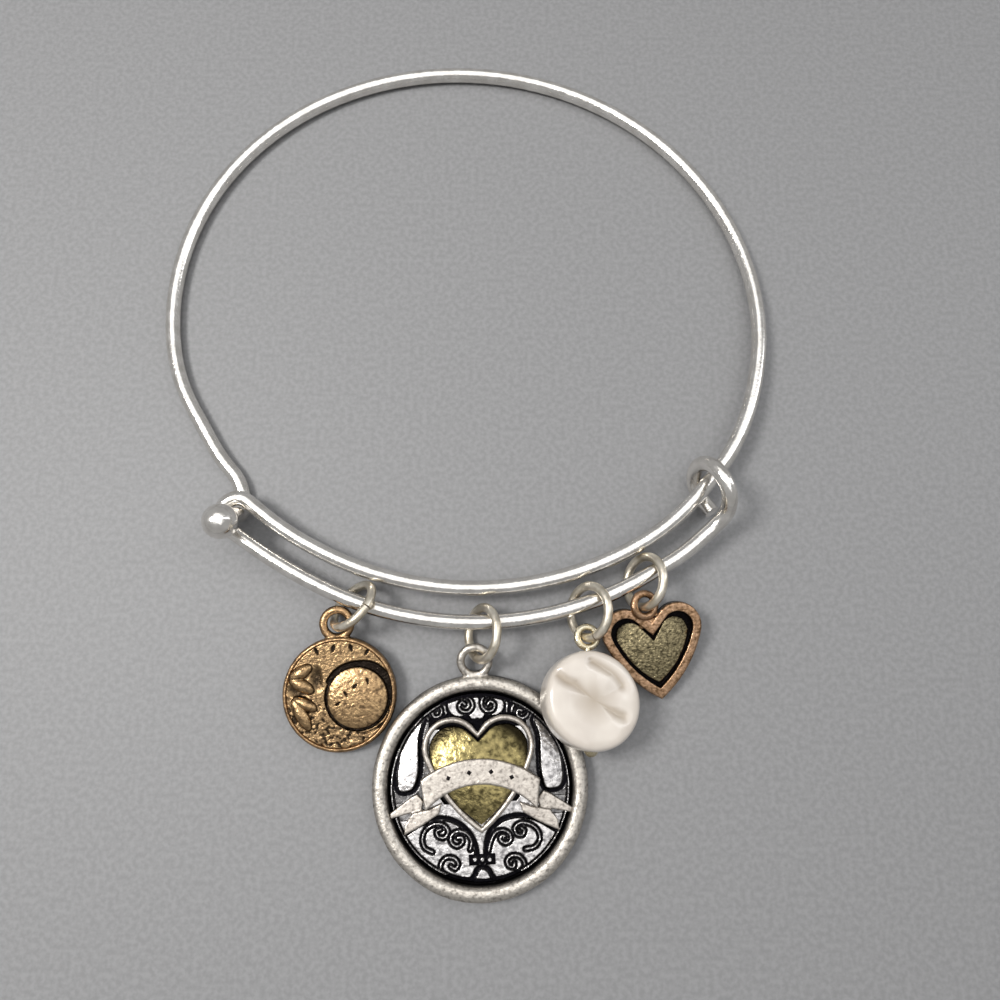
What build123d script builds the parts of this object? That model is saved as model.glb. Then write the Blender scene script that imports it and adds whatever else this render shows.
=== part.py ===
"""Adjustable wire charm bangle, lying on its side, with four charms on jump rings.

Millimetres, +Z up, the floor at Z = 0. X runs across the hoop, +Y points away from the charms.
The origin is on the floor, in the middle of the whole piece's plan.
"""
import os
from math import acos, atan2, cos, degrees, pi, radians, sin, tan

from build123d import *

os.makedirs("parts", exist_ok=True)

# Bangle wire
WIRE = 1.55
WIRE_R = WIRE / 2
FLOOR_GAP = 0.02
CROSSING_GAP = 0.3
LOW = WIRE_R + FLOOR_GAP
HIGH = LOW + WIRE + CROSSING_GAP
BALL_R = 1.77
BEND_SHARE = 0.49

# Hoop: a slightly oval ring, turned a little in plan
HOOP = Vector(0, 14.52)
HOOP_HALF_WIDTH = 32.4
HOOP_HALF_DEPTH = 30.25
HOOP_TURN = -14.8
HOOP_FROM = 218
HOOP_TO = -12
HOOP_CORNERS = 16
HOOP_RISE_FROM = 45
HOOP_RISE_SPAN = 75

# The two parallel strands on the charm side, both arcs
INNER_CENTRE = Vector(1.29, 17.68)
INNER_R = 33.9
INNER_FROM = -46
INNER_TO = -131
OUTER_CENTRE = Vector(1.32, 15.38)
OUTER_R = 35.0
OUTER_FROM = -130
OUTER_TO = -46
STRAND_CORNERS = 6
OUTER_RISE = 0.35

# Hairpin at the left, where the inner strand turns back as the outer one
HAIRPIN = Vector(-22.88, -8.7)
HAIRPIN_R = 1.74
HAIRPIN_HEADING = 144.0
HAIRPIN_Z = HIGH - 0.06

# Loop round the hoop at the right
LOOP_CENTRE = Vector(25.5, -6.2, 3.56)
LOOP_R = 2.72
LOOP_HEADING = -65.7
LOOP_LEAN = 75
LOOP_CORNERS = (68, 128, 188, 248)

# Jump rings: one wire size, each with its own lean
RING_R = 2.55
RING_WIRE_R = 0.45
RING_SEAM = 2.5

# Raised work starts this far below the face that it stands on
ROOT = 0.1

# Copper disc: its cast loop is given as mean radius and bar radius, its groove as offset from the moon
DISC_R = 5.65
DISC_T = 1.4
DISC_EDGE = 0.3
DISC_EYE = (1.36, 0.42)
DISC_HANG = DISC_R + 1.25
MOON_R = 3.0
MOON_AT = (1.55, -0.75)
MOON_RISE = 0.45
GROOVE_R = MOON_R + 0.45
GROOVE_OFF = (0.25, 0.3)
GROOVE_DEEP = 0.25
DISC_HEART_RISE = 0.35
# Its two small hearts: x, y, turn clockwise in degrees
DISC_HEARTS = ((-3.55, 1.55, 75), (-3.3, -2.2, 120))

# Medallion: heights above its flat back, then its banner's corners and its tail's outline
MEDAL_R = 10.5
MEDAL_T = 2.0
MEDAL_EDGE = 0.35
MEDAL_RIM = 1.5
MEDAL_FIELD = 1.25
MEDAL_SCROLL_TOP = 1.65
MEDAL_FRAME_TOP = 2.3
MEDAL_FRAME_DEEP = 0.5
MEDAL_BANNER_TOP = 2.75
MEDAL_HEART_APEX = 2.6
MEDAL_DOME_R = 14.0
MEDAL_EYE = (1.4, 0.42)
MEDAL_EYE_TILT = 15
SCROLL_W = 0.42
SCROLL_BEAD_R = 0.315
SCROLL_TIGHTER = 0.62
STEM = (0.5, 4.6)
STEM_AT = (0, -6.2)
BANNER_CROWN = ((-5.75, 0.6), (0, 2.4), (5.75, 0.6))
BANNER_HEM = ((-5.3, -1.9), (0, 0.35), (5.3, -1.9))
TAIL = ((-8.6, -2.1), (-6.6, -0.9), (-6.0, -1.4), (-3.8, -3.0), (-4.3, -4.1), (-7.4, -2.7))

# Coin pearl and its pin, whose ball sits in a dimple at the pearl's foot
PEARL_R = 4.65
PEARL_HALF_T = 2.15
PEARL_EDGE_R = 1.2
PEARL_LEAN = 0.15
PIN_R = 0.33
PIN_BALL_R = 0.7
PIN_BALL_IN = 0.2
PIN_LOOP_R = 1.0
PIN_GAP = 0.08

# Heart charm: its neck joins the loop to the frame
HEART_T = 1.3
HEART_FLOOR = 0.65
HEART_DOME_TOP = 1.4
HEART_DOME_R = 9.0
HEART_DROP = 0.5
HEART_HANG = 4.75
HEART_ASIDE = 0.4
HEART_EYE = (1.13, 0.36)
HEART_NECK = (1.3, 1.5)
HEART_NECK_AT = (-HEART_ASIDE, 3.1)
HEART_NECK_UP = 0.25
HEART_NECK_T = 0.95

# Heart outlines: half width, top of the lobes, cleft, tip, lobe radius; each lobe ends LOBE_END degrees
# below level
LOBE_END = 20
DISC_HEART = (1.3, 1.1, 0.45, -1.55, 0.6)
MEDAL_FRAME = (5.4, 6.2, 4.85, -4.2, 2.7)
MEDAL_FRAME_IN = (4.85, 5.65, 4.1, -3.5, 2.15)
MEDAL_HEART = (4.6, 5.35, 3.8, -3.15, 1.95)
HEART_FRAME = (4.9, 4.5, 2.75, -4.6, 2.25)
HEART_CHANNEL = (4.15, 3.75, 1.6, -3.65, 1.5)
HEART_INNER = (3.4, 3.0, 0.85, -2.8, 1.2)


def smooth(t):
    """Eased step from 0 to 1."""
    t = min(max(t, 0.0), 1.0)
    return t * t * (3 - 2 * t)


def hoop_corner(angle, reach, z):
    """Corner of the polygon round the turned oval of the hoop."""
    x = HOOP_HALF_WIDTH * reach * cos(radians(angle))
    y = HOOP_HALF_DEPTH * reach * sin(radians(angle))
    turn = radians(HOOP_TURN)
    plan = HOOP + Vector(x * cos(turn) - y * sin(turn), x * sin(turn) + y * cos(turn))
    return Vector(plan.X, plan.Y, z)


def hoop_corners():
    """Corners of the hoop, from the ball's side over the far side to the loop's side."""
    step = (HOOP_FROM - HOOP_TO) / HOOP_CORNERS
    reach = 1 / cos(radians(step / 2))
    corners = []
    for i in range(HOOP_CORNERS):
        angle = HOOP_FROM - step * (i + 0.5)
        z = LOW + (HIGH - LOW) * smooth((HOOP_RISE_FROM - angle) / HOOP_RISE_SPAN)
        corners.append(hoop_corner(angle, reach, z))
    return corners


def strand_corners(centre, radius, start, end, z_start, z_end):
    """Corners of the polygon round one strand's arc."""
    step = (end - start) / STRAND_CORNERS
    reach = radius / cos(radians(step / 2))
    corners = []
    for i in range(STRAND_CORNERS):
        angle = radians(start + step * (i + 0.5))
        z = z_start + (z_end - z_start) * i / (STRAND_CORNERS - 1)
        corners.append(Vector(centre.X + reach * cos(angle), centre.Y + reach * sin(angle), z))
    return corners


def hairpin_corners():
    """The two corners of the flat turn at the left."""
    along = Vector(1, 0).rotate(Axis.Z, HAIRPIN_HEADING) * HAIRPIN_R
    across = along.rotate(Axis.Z, -90)
    lift = Vector(0, 0, HAIRPIN_Z)
    return [HAIRPIN + along + across + lift, HAIRPIN + along - across + lift]


def loop_point(angle, reach):
    """Point of the leaning loop's circle, or of the polygon round it."""
    level = Vector(1, 0).rotate(Axis.Z, LOOP_HEADING)
    side = level.rotate(Axis.Z, 90)
    rise = side * cos(radians(LOOP_LEAN)) + Vector(0, 0, sin(radians(LOOP_LEAN)))
    return LOOP_CENTRE + (level * cos(radians(angle)) + rise * sin(radians(angle))) * LOOP_R * reach


def bend_radii(corners):
    """Bend radius at each inner corner, as large as the runs beside it allow."""
    radii = []
    for i in range(1, len(corners) - 1):
        before = corners[i - 1] - corners[i]
        after = corners[i + 1] - corners[i]
        first = before.length * (2 if i == 1 else 1)
        last = after.length * (2 if i == len(corners) - 2 else 1)
        half_turn = (pi - radians(before.get_angle(after))) / 2
        radii.append(BEND_SHARE * min(first, last) / tan(half_turn))
    return radii


# The wire's route: ball, down through the hairpin's slot, hoop, inner strand, hairpin, outer strand, loop
BALL = Vector(-23.63, -9.88, 5.3)
ball_end = [
    BALL,
    Vector(-22.91, -8.8, 3.6),
    Vector(-22.85, -8.5, LOW),
    Vector(-23.23, -5.02, LOW),
    Vector(-25.83, -2.17, LOW),
]
loop_end = [Vector(25.55, -10.15, HIGH + 0.4), loop_point(10, 1.12)]
loop_end += [loop_point(angle, 1 / cos(radians(30))) for angle in LOOP_CORNERS]
loop_end += [loop_point(318, 1.02)]
route_corners = (
    ball_end
    + hoop_corners()
    + [Vector(28.17, -2.17, HIGH)]
    + strand_corners(INNER_CENTRE, INNER_R, INNER_FROM, INNER_TO, HIGH, HAIRPIN_Z)
    + hairpin_corners()
    + strand_corners(OUTER_CENTRE, OUTER_R, OUTER_FROM, OUTER_TO, HIGH, HIGH + OUTER_RISE)
    + loop_end
)

with BuildPart() as bangle_wire:
    with BuildLine():
        route = FilletPolyline(*route_corners, radius=bend_radii(route_corners))
    with BuildSketch(Plane(origin=route @ 0, z_dir=route % 0)):
        Circle(WIRE_R)
    sweep()
    with Locations(BALL):
        Sphere(BALL_R)
bangle_wire.part.label = "bangle_wire"
export_step(bangle_wire.part, "parts/bangle_wire.step")
wire_volume = pi * WIRE_R**2 * route.length
print("wire length", round(route.length, 1), "length x section", round(wire_volume, 1))
print("bangle_wire volume", round(bangle_wire.part.volume, 1))
print("tightest bends", [round(r, 1) for r in sorted(bend_radii(route_corners))[:8]])


# Each jump ring: name, centre, axis, where its saw cut points
jump_rings = (
    ("jump_ring_disc", (-10.75, -17.95, 2.55), (0.611, -0.538, -0.581), 70),
    ("jump_ring_medallion", (2.23, -20.69, 2.59), (0.824, -0.035, -0.566), 200),
    ("jump_ring_pearl", (12.77, -18.60, 3.3), (0.766, -0.02, -0.642), 160),
    ("jump_ring_heart", (18.45, -15.60, 2.85), (0.818, -0.09, -0.568), 200),
)
for name, centre, axis, seam in jump_rings:
    flat = Plane(origin=centre, x_dir=Vector(0, 0, 1).cross(Vector(axis)), z_dir=axis)
    spoke = flat.x_dir.rotate(Axis((0, 0, 0), axis), seam)
    with BuildPart() as jump_ring:
        with BuildSketch(Plane(origin=centre, x_dir=spoke, z_dir=spoke.cross(flat.z_dir))):
            with Locations((RING_R, 0)):
                Circle(RING_WIRE_R)
        revolve(axis=Axis(centre, axis), revolution_arc=360 - RING_SEAM)
    jump_ring.part.label = name
    export_step(jump_ring.part, "parts/" + name + ".step")


def hung_seat(loop_at, reach, mid, turn, back_lift, aside=0):
    """Seat plane of a charm whose loop is at loop_at: reach down to its middle, aside to its right."""
    up = Vector(0, -tan(radians(back_lift)), 1).normalized()
    up = up.rotate(Axis.Z, turn)
    across = Vector(1, 0).rotate(Axis.Z, turn)
    middle = loop_at + across * aside - up.cross(across) * reach - up * mid
    return Plane(origin=middle, x_dir=across, z_dir=up)


def heart_face(half_width, top, cleft, tip, lobe_r):
    """Heart in the open sketch: straight out of the cleft, round lobes, full sides, a point at tip."""
    lobe_at = Vector(half_width - lobe_r, top - lobe_r)
    from_lobe = Vector(0, cleft) - lobe_at
    start = degrees(atan2(from_lobe.Y, from_lobe.X)) % 360 - degrees(acos(lobe_r / from_lobe.length))
    with BuildLine() as outline:
        lobe = CenterArc((lobe_at.X, lobe_at.Y), lobe_r, start, -(start + LOBE_END))
        Line((0, cleft), lobe @ 0)
        TangentArc(lobe @ 1, (0, tip), tangent=lobe % 1)
        mirror(about=Plane.YZ)
    make_face(outline.edges())


def cast_loop(at, normal, mean_r, bar_r):
    """Cast loop of a charm, added to the open part."""
    with Locations(Plane(origin=at, z_dir=normal)):
        Torus(mean_r, bar_r)


# Copper disc with its moon and two small hearts
DISC_LOOP = Vector(-12.3, -19.7, 2.3)
disc_seat = hung_seat(DISC_LOOP, DISC_HANG, DISC_T / 2, 3.6, back_lift=7.1)
with BuildPart() as disc_charm:
    with BuildSketch(disc_seat):
        Circle(DISC_R)
    extrude(amount=DISC_T)
    fillet(disc_charm.edges(), radius=DISC_EDGE)
    with BuildSketch(disc_seat.offset(DISC_T - GROOVE_DEEP)):
        with Locations((MOON_AT[0] + GROOVE_OFF[0], MOON_AT[1] + GROOVE_OFF[1])):
            Circle(GROOVE_R)
    extrude(amount=DISC_T, mode=Mode.SUBTRACT)
    with BuildSketch(disc_seat.offset(DISC_T - GROOVE_DEEP - ROOT)):
        with Locations(MOON_AT):
            Circle(MOON_R)
    extrude(amount=ROOT + GROOVE_DEEP + MOON_RISE)
    for x, y, turn in DISC_HEARTS:
        heart_plane = Plane(
            origin=disc_seat.from_local_coords((x, y, DISC_T - GROOVE_DEEP - ROOT)),
            x_dir=disc_seat.x_dir.rotate(Axis((0, 0, 0), disc_seat.z_dir), -turn),
            z_dir=disc_seat.z_dir,
        )
        with BuildSketch(heart_plane):
            heart_face(*DISC_HEART)
        extrude(amount=ROOT + GROOVE_DEEP + DISC_HEART_RISE)
    cast_loop(DISC_LOOP, disc_seat.z_dir, *DISC_EYE)
disc_charm.part.label = "disc_charm"
export_step(disc_charm.part, "parts/disc_charm.step")


def volute(centre, radius, start, hand):
    """One scroll in the open sketch: two half turns, the second smaller, ending in a bead."""
    first = Vector(*centre)
    inner_r = SCROLL_TIGHTER * radius
    outward = Vector(cos(radians(start)), sin(radians(start)))
    second = first - outward * (radius - inner_r)
    with BuildLine() as curl:
        CenterArc((first.X, first.Y), radius, start, hand * 180)
        CenterArc((second.X, second.Y), inner_r, start + hand * 180, hand * 180)
    trace(curl.line, SCROLL_W)
    with Locations(second + outward * inner_r):
        Circle(SCROLL_BEAD_R)


# Medallion
MEDAL_LOOP = Vector(1.43, -23.36, 1.7)
medal_seat = Plane(origin=(2.04, -35.18, 0), x_dir=Vector(1, 0).rotate(Axis.Z, 2.9), z_dir=(0, 0, 1))
scrolls = (
    ((-4.75, 6.9), 0.9, 200, -1),
    ((-1.9, 7.5), 0.85, 90, 1),
    ((1.0, 7.5), 0.85, 90, -1),
    ((4.5, 6.95), 0.9, -20, 1),
    ((-4.0, -4.0), 1.0, 60, 1),
    ((-2.1, -4.8), 0.9, 60, -1),
    ((2.5, -4.5), 0.9, 120, 1),
    ((4.0, -3.7), 1.0, 120, -1),
    ((-2.7, -6.6), 0.95, 0, 1),
    ((3.0, -6.6), 0.95, 180, -1),
)
with BuildPart() as medallion:
    with BuildSketch(medal_seat):
        Circle(MEDAL_R)
    extrude(amount=MEDAL_T)
    fillet(medallion.edges(), radius=MEDAL_EDGE)
    with BuildSketch(medal_seat.offset(MEDAL_FIELD)):
        Circle(MEDAL_R - MEDAL_RIM)
    extrude(amount=MEDAL_T, mode=Mode.SUBTRACT)
    relief = medal_seat.offset(MEDAL_FIELD - ROOT)
    with BuildSketch(relief):
        for centre, radius, start, hand in scrolls:
            volute(centre, radius, start, hand)
        with Locations(STEM_AT):
            Rectangle(*STEM)
    extrude(amount=MEDAL_SCROLL_TOP - MEDAL_FIELD + ROOT)
    with BuildSketch(relief):
        heart_face(*MEDAL_FRAME)
    extrude(amount=MEDAL_FRAME_TOP - MEDAL_FIELD + ROOT)
    with BuildSketch(medal_seat.offset(MEDAL_FRAME_TOP - MEDAL_FRAME_DEEP)):
        heart_face(*MEDAL_FRAME_IN)
    extrude(amount=MEDAL_T, mode=Mode.SUBTRACT)
    with BuildSketch(relief):
        with BuildLine():
            crown = ThreePointArc(*BANNER_CROWN)
            hem = ThreePointArc(*BANNER_HEM)
            Line(crown @ 0, hem @ 0)
            Line(crown @ 1, hem @ 1)
        make_face()
    extrude(amount=MEDAL_BANNER_TOP - MEDAL_FIELD + ROOT)
    with BuildSketch(relief):
        with BuildLine():
            Polyline(*TAIL, close=True)
        make_face()
        mirror(about=Plane.YZ)
    extrude(amount=MEDAL_T - MEDAL_FIELD + ROOT)
    cast_loop(MEDAL_LOOP, medal_seat.z_dir.rotate(Axis.X, MEDAL_EYE_TILT), *MEDAL_EYE)
with BuildPart() as medal_heart:
    with BuildSketch(medal_seat.offset(MEDAL_FIELD)):
        heart_face(*MEDAL_HEART)
    extrude(amount=MEDAL_HEART_APEX)
    with Locations(medal_seat.from_local_coords((0, 1, MEDAL_HEART_APEX - MEDAL_DOME_R))):
        Sphere(MEDAL_DOME_R, mode=Mode.INTERSECT)
with medallion:
    add(medal_heart.part)
medallion.part.label = "medallion"
export_step(medallion.part, "parts/medallion.step")


# Coin pearl, drilled, on a head pin whose head is turned to a loop
pin_eye = Vector(12.53, -21.06, 3.1)
pearl_centre = Vector(12.55, -27.12, 3.62)
pin_line = (pin_eye - pearl_centre).normalized()
leaning = Vector(PEARL_LEAN, 0, 1)
pearl_up = (leaning - pin_line * leaning.dot(pin_line)).normalized()
pin_foot = pearl_centre - pin_line * (PEARL_R - PIN_BALL_IN)
edge_at = PEARL_R - PEARL_EDGE_R
crown_r = (edge_at**2 + PEARL_HALF_T**2 - PEARL_EDGE_R**2) / (2 * (PEARL_HALF_T - PEARL_EDGE_R))
crown_end = degrees(atan2(crown_r - PEARL_HALF_T, edge_at))
with BuildPart() as pearl_bead:
    with BuildSketch(Plane(origin=pearl_centre, x_dir=pin_line, z_dir=pin_line.cross(pearl_up))):
        with BuildLine():
            CenterArc((0, PEARL_HALF_T - crown_r), crown_r, 90, crown_end - 90)
            CenterArc((edge_at, 0), PEARL_EDGE_R, crown_end, -2 * crown_end)
            CenterArc((0, crown_r - PEARL_HALF_T), crown_r, -crown_end, crown_end - 90)
            Line((0, -PEARL_HALF_T), (0, PEARL_HALF_T))
        make_face()
    revolve(axis=Axis(pearl_centre, pearl_up))
    with Locations(Plane(origin=pearl_centre, z_dir=pin_line)):
        Cylinder(PIN_R + PIN_GAP, 4 * PEARL_R, mode=Mode.SUBTRACT)
    with Locations(pin_foot):
        Sphere(PIN_BALL_R + PIN_GAP, mode=Mode.SUBTRACT)
pearl_bead.part.label = "pearl_bead"
export_step(pearl_bead.part, "parts/pearl_bead.step")

pin_reach = (pin_eye - pin_foot).length - PIN_LOOP_R
with BuildPart() as head_pin:
    with BuildSketch(Plane(origin=pin_foot, z_dir=pin_line)):
        Circle(PIN_R)
    extrude(amount=pin_reach)
    with Locations(pin_foot):
        Sphere(PIN_BALL_R)
    cast_loop(pin_eye, pearl_up, PIN_LOOP_R, PIN_R)
head_pin.part.label = "head_pin"
export_step(head_pin.part, "parts/head_pin.step")


# Heart charm
HEART_LOOP = Vector(18.31, -17.93, 3.08)
heart_mid = HEART_T / 2 + HEART_DROP
heart_seat = hung_seat(HEART_LOOP, HEART_HANG, heart_mid, 8.35, back_lift=11.5, aside=HEART_ASIDE)
with BuildPart() as heart_charm:
    with BuildSketch(heart_seat):
        heart_face(*HEART_FRAME)
    extrude(amount=HEART_T)
    with BuildSketch(heart_seat.offset(HEART_FLOOR)):
        heart_face(*HEART_CHANNEL)
    extrude(amount=HEART_T, mode=Mode.SUBTRACT)
    with BuildSketch(heart_seat.offset(HEART_NECK_UP)):
        with Locations(HEART_NECK_AT):
            Rectangle(*HEART_NECK)
    extrude(amount=HEART_NECK_T)
    cast_loop(HEART_LOOP, (0.27, -0.12, 1), *HEART_EYE)
with BuildPart() as inner_heart:
    with BuildSketch(heart_seat.offset(HEART_FLOOR - ROOT)):
        heart_face(*HEART_INNER)
    extrude(amount=HEART_T)
    with Locations(heart_seat.from_local_coords((0, 0, HEART_DOME_TOP - HEART_DOME_R))):
        Sphere(HEART_DOME_R, mode=Mode.INTERSECT)
with heart_charm:
    add(inner_heart.part)
heart_charm.part.label = "heart_charm"
export_step(heart_charm.part, "parts/heart_charm.step")
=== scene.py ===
"""Charm bangle lying on its side: a plated wire hoop with a disc, a medallion, a pearl and a heart.

Each charm is modelled in its own millimetres, flat on its seat with +Y towards its loop, and is then
put in its place in the shared frame, in metres.
"""
from math import acos, atan2, cos, degrees, exp, hypot, radians, sin, sqrt, tan

import bpy
from mathutils import Matrix, Vector, kdtree, noise


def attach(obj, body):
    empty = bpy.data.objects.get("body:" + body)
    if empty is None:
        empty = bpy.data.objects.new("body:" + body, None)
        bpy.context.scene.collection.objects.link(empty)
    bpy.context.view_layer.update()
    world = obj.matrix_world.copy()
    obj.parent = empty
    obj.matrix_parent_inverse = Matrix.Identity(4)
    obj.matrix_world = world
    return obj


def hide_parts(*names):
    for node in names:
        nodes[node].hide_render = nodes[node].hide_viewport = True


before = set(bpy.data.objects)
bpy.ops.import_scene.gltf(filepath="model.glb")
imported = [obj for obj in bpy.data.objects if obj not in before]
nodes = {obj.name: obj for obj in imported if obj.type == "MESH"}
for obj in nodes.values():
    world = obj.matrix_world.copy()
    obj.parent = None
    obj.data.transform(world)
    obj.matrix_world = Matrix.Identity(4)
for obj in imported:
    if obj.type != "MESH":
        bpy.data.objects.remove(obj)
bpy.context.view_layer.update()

MM = 0.001

# Camera, as the photograph was taken: over the charms, leaning back a little
CAMERA_AT = (3.97, -23.62, 80.0)
CAMERA_TILT = 12.0
CAMERA_LENS = 27.72
CAMERA_SENSOR = 36
CAMERA_NEAR = 0.005

# Light: the surround's grey and strength, the warm tint of the key light, the cool tint of the side light
SURROUND_GREY = "#e2e2e2"
SURROUND_STRENGTH = 0.5
KEY_TINT = (1.0, 0.985, 0.96)
SIDE_TINT = (0.95, 0.97, 1.0)
FLOOR_SIZE = 2.0

# Cast loops: radius of the bar's middle line, radius of the bar
MEDAL_RING = (1.4, 0.42)
DISC_RING = (1.36, 0.42)
HEART_RING = (1.13, 0.36)

# Heart outlines: half width, top, cleft, tip, lobe radius
MEDAL_HEART = (5.2, 6.3, 4.75, -3.95, 2.62)
INLAY_HEART = (4.72, 5.6, 4.0, -3.3, 2.15)
CHARM_HEART = (4.8, 4.4, 2.65, -4.5, 2.15)
CHANNEL_HEART = (4.1, 3.7, 1.65, -3.6, 1.5)
INNER_HEART = (3.5, 3.1, 0.95, -2.95, 1.25)

# Radius of the ball that rounds the tops of both inner hearts
DOME_R = 18

# Disc: thickness, its cast loop's place, the loop's distance from the middle, turn and lift in degrees,
# height of its ground, radius of its face, depths of its hollows, pits and marks, height of the sunk border
DISC_T = 1.4
DISC_LOOP = (-12.3, -19.7, 2.3)
DISC_HANG = 6.9
DISC_TURN = 3.6
DISC_LIFT = 7.1
DISC_GROUND = 1.2
DISC_EDGE = 5.3
DISC_HOLLOW = 0.22
DISC_PIT = 0.08
DISC_MARK = 0.16
DISC_BORDER = 0.95

# Domed moon on the disc, then its puffed hearts: the height each starts from and how far it swells
MOON_AT = (1.8, -0.4)
MOON_R = 2.98
MOON_BASE = 1.3
MOON_RISE = 0.32
LOBE_BASE = 1.12
LOBE_RISE = 0.62

# Medallion: place, turn in degrees, its loop's place and lean, height and radius of its sunk ground, depth
# of the grooves, rise of the side cushions, height of the sunk border, top of the banner, radius of its marks
MEDAL_AT = (2.04, -35.18, 0.0)
MEDAL_TURN = 2.9
MEDAL_LOOP = (1.43, -23.36, 1.7)
MEDAL_LOOP_LEAN = 15
MEDAL_GROUND = 1.42
MEDAL_EDGE = 8.85
MEDAL_GROOVE = 0.34
CUSHION_RISE = 0.2
MEDAL_BORDER = 0.93
BANNER_TOP = 2.7
MARK_R = 0.34

# Coin pearl: its middle, the eye of its pin, radius, half thickness, lean, how far it is from round, then
# the depth and width of its creases and the depth and width of the painted shade in them
PEARL_AT = (12.55, -27.12, 3.62)
PEARL_EYE = (12.53, -21.06, 3.1)
PEARL_R = 4.65
PEARL_HALF_T = 2.15
PEARL_LEAN = 0.15
PEARL_OVAL = 0.02
FOLD_DEPTH = 0.3
FOLD_WIDTH = 0.5
CREASE_SHADE_DEPTH = 0.75
CREASE_SHADE_WIDTH = 0.42

# Heart charm: thickness, height of its channel's floor, its loop's place, how far its middle lies below
# that loop and to one side, how far the loop rises over mid thickness, turn and lift in degrees
HEART_T = 1.3
HEART_FLOOR = 0.65
HEART_LOOP = (18.31, -17.93, 3.08)
HEART_HANG = 4.75
HEART_ASIDE = 0.4
HEART_RISE = 0.5
HEART_TURN = 8.35
HEART_LIFT = 11.5


# Small helpers


def deselect():
    """Leaves nothing selected."""
    bpy.ops.object.select_all(action="DESELECT")


def pick(obj):
    """Selects one object alone and makes it active."""
    deselect()
    obj.select_set(True)
    bpy.context.view_layer.objects.active = obj


def to_mesh(obj):
    """Turns a curve into a mesh, with its doubled seams closed and its faces outwards."""
    pick(obj)
    bpy.ops.object.convert(target="MESH")
    close_seams(bpy.context.object)
    return bpy.context.object


def close_seams(obj, reach=0.005):
    """Merges doubled points and turns all faces outwards."""
    pick(obj)
    bpy.ops.object.mode_set(mode="EDIT")
    bpy.ops.mesh.select_all(action="SELECT")
    bpy.ops.mesh.remove_doubles(threshold=reach)
    bpy.ops.mesh.normals_make_consistent(inside=False)
    bpy.ops.object.mode_set(mode="OBJECT")


def apply_modifier(obj, kind, **settings):
    """Adds one modifier with its settings and applies it."""
    pick(obj)
    modifier = obj.modifiers.new(kind.lower(), kind)
    for name, value in settings.items():
        setattr(modifier, name, value)
    bpy.ops.object.modifier_apply(modifier=modifier.name)


def join(pieces, name):
    """Joins pieces into one object."""
    deselect()
    for piece in pieces:
        piece.select_set(True)
    bpy.context.view_layer.objects.active = pieces[0]
    bpy.ops.object.join()
    joined = bpy.context.object
    joined.name = name
    return joined


def draw(points, closed=False, bevel=0.0, extrude=0.0, filled=False, round_corners=2, lift=0.0):
    """A line through points; filled it is a flat shape, with a bevel a rounded bar."""
    bpy.ops.curve.primitive_nurbs_path_add()
    obj = bpy.context.object
    line = obj.data
    line.splines.clear()
    spline = line.splines.new("POLY")
    spline.points.add(len(points) - 1)
    for spot, point in zip(spline.points, points):
        spot.co = (point[0], point[1], point[2] if len(point) > 2 else 0.0, 1.0)
    spline.use_cyclic_u = closed
    line.dimensions = "2D" if filled else "3D"
    if filled:
        line.fill_mode = "BOTH"
        line.extrude = extrude
    line.bevel_depth = bevel
    line.bevel_resolution = round_corners
    line.use_fill_caps = True
    made = to_mesh(obj)
    made.location = (0, 0, lift)
    bpy.ops.object.transform_apply(location=True, rotation=False, scale=False)
    return made


def plate(points, low, high, edge):
    """A flat shape standing from low to high, its corners rounded by edge and its outline kept."""
    half = (high - low) / 2 - edge
    return draw(points, closed=True, bevel=edge, extrude=half, filled=True, lift=(low + high) / 2)


def turned(profile, steps=160):
    """A round piece turned about Z from a profile of (radius, height) points."""
    obj = draw([(radius, 0, height) for radius, height in profile])
    apply_modifier(
        obj, "SCREW", steps=steps, render_steps=steps, use_merge_vertices=True, use_smooth_shade=True
    )
    close_seams(obj)
    return obj


def ring(at, normal, mean_r, bar_r):
    """A cast loop: a torus that lies square to normal."""
    bpy.ops.mesh.primitive_torus_add(
        major_radius=mean_r, minor_radius=bar_r, major_segments=64, minor_segments=20, location=(0, 0, 0)
    )
    obj = bpy.context.object
    turning = Vector(normal).to_track_quat("Z", "Y").to_matrix().to_4x4()
    obj.matrix_world = Matrix.Translation(at) @ turning @ obj.matrix_world
    pick(obj)
    bpy.ops.object.transform_apply(location=True, rotation=True, scale=True)
    return obj


def ball(segments, rings, radius, at):
    """A sphere."""
    bpy.ops.mesh.primitive_uv_sphere_add(segments=segments, ring_count=rings, radius=radius, location=at)
    return bpy.context.object


def cast(pieces, name, voxel, smoothing=4):
    """Fuses pieces into one casting, with its corners softened as metal fills a mould."""
    solid = join(pieces, name)
    apply_modifier(solid, "REMESH", mode="VOXEL", voxel_size=voxel)
    apply_modifier(solid, "SMOOTH", factor=0.5, iterations=smoothing)
    return solid


def cut(obj, tool, operation="DIFFERENCE"):
    """Cuts obj with a tool, which is then removed."""
    apply_modifier(obj, "BOOLEAN", operation=operation, object=tool, solver="EXACT")
    bpy.data.objects.remove(tool)


def dome(obj, y, top, segments, rings):
    """Rounds the top of obj to a large ball whose highest point is at (0, y, top)."""
    cut(obj, ball(segments, rings, DOME_R, (0, y, top - DOME_R)), "INTERSECT")


def lumps(x, y, z, size):
    """Uneven ground from -1 to 1 whose lumps are about size across."""
    return noise.noise(Vector((x, y, z)) / size)


def hammer(obj, size, depth):
    """Makes a surface uneven, as cast and rubbed metal is, but leaves the flat back flat."""
    points = obj.data.vertices
    moved = [p.co + p.normal * depth * lumps(*p.co, size) * step(0.1, 0.5, p.co.z) for p in points]
    points.foreach_set("co", [number for spot in moved for number in spot])
    obj.data.update()


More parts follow.
